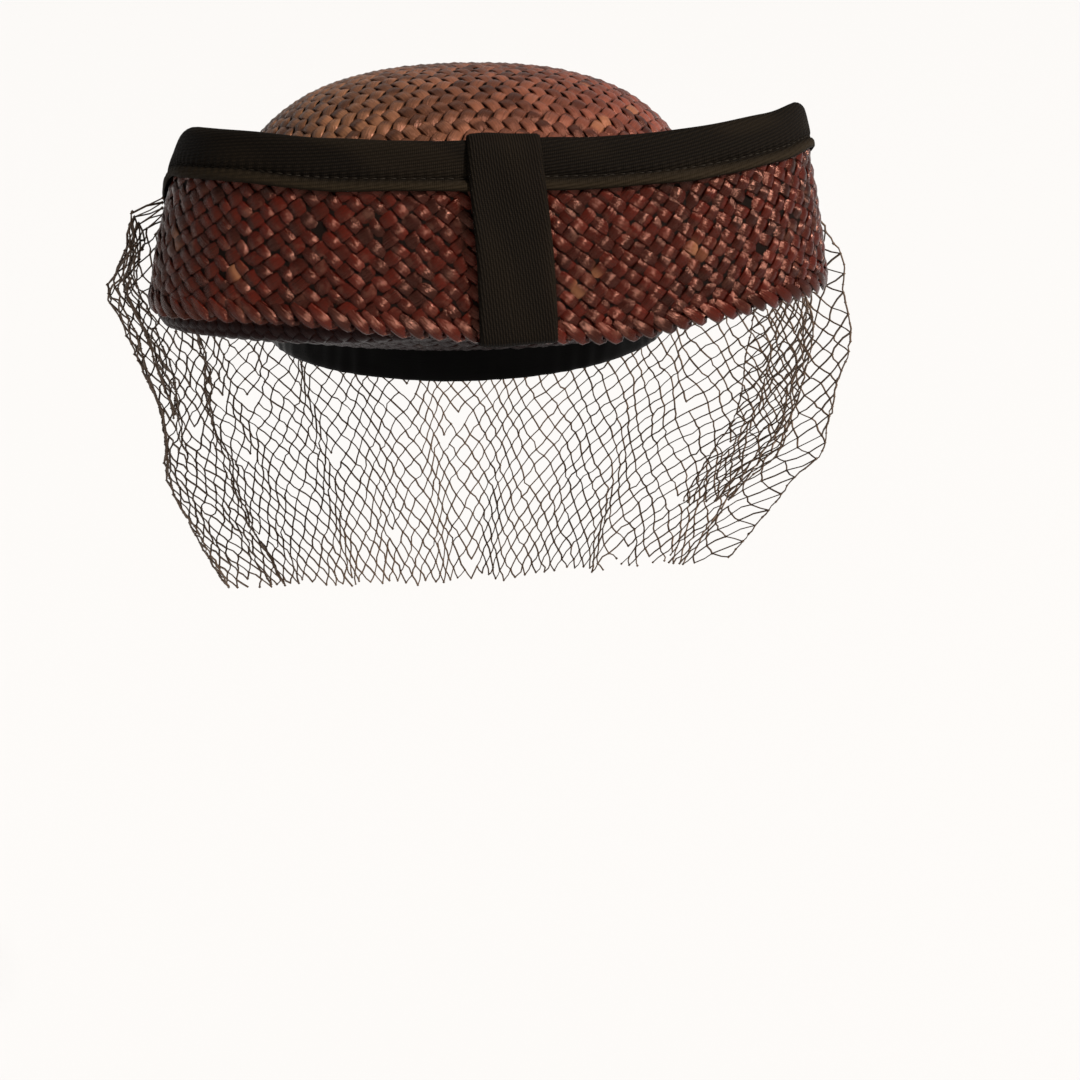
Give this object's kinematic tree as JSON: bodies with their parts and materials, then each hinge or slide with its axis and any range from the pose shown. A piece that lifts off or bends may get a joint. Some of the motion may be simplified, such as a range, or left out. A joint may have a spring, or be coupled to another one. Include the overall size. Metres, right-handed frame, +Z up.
{
  "type": "cocktail hat with a face veil",
  "caption": "Woven straw cocktail hat with a turned-up back cuff bound in black twill, a twill tab, a satin head band and a coarse net face veil.",
  "frame": {"origin": "middle of the head opening, in the plane of the crown's base, where the hat sits on a head", "axes": "+Z up, -Y towards the face, +Y towards the back with its cuff and tab, +X towards the wearer's left"},
  "size_m": [0.2762, 0.2658, 0.2546],
  "materials": {
    "burgundy_straw": "woven glossy straw, faded and dusty towards the left",
    "burgundy_straw_cuff": "woven glossy straw, dark wine",
    "black_twill_tape": "matt twill tape",
    "black_twill_tab": "matt fine twill",
    "black_satin": "smooth satin",
    "brown_black_net": "fine knotted thread"
  },
  "bodies": {
    "root": {"crown": "burgundy_straw", "cuff": "burgundy_straw_cuff", "edge_binding": "black_twill_tape", "back_tab": "black_twill_tab", "head_band": "black_satin", "veil": "brown_black_net"}
  },
  "joints": []
}
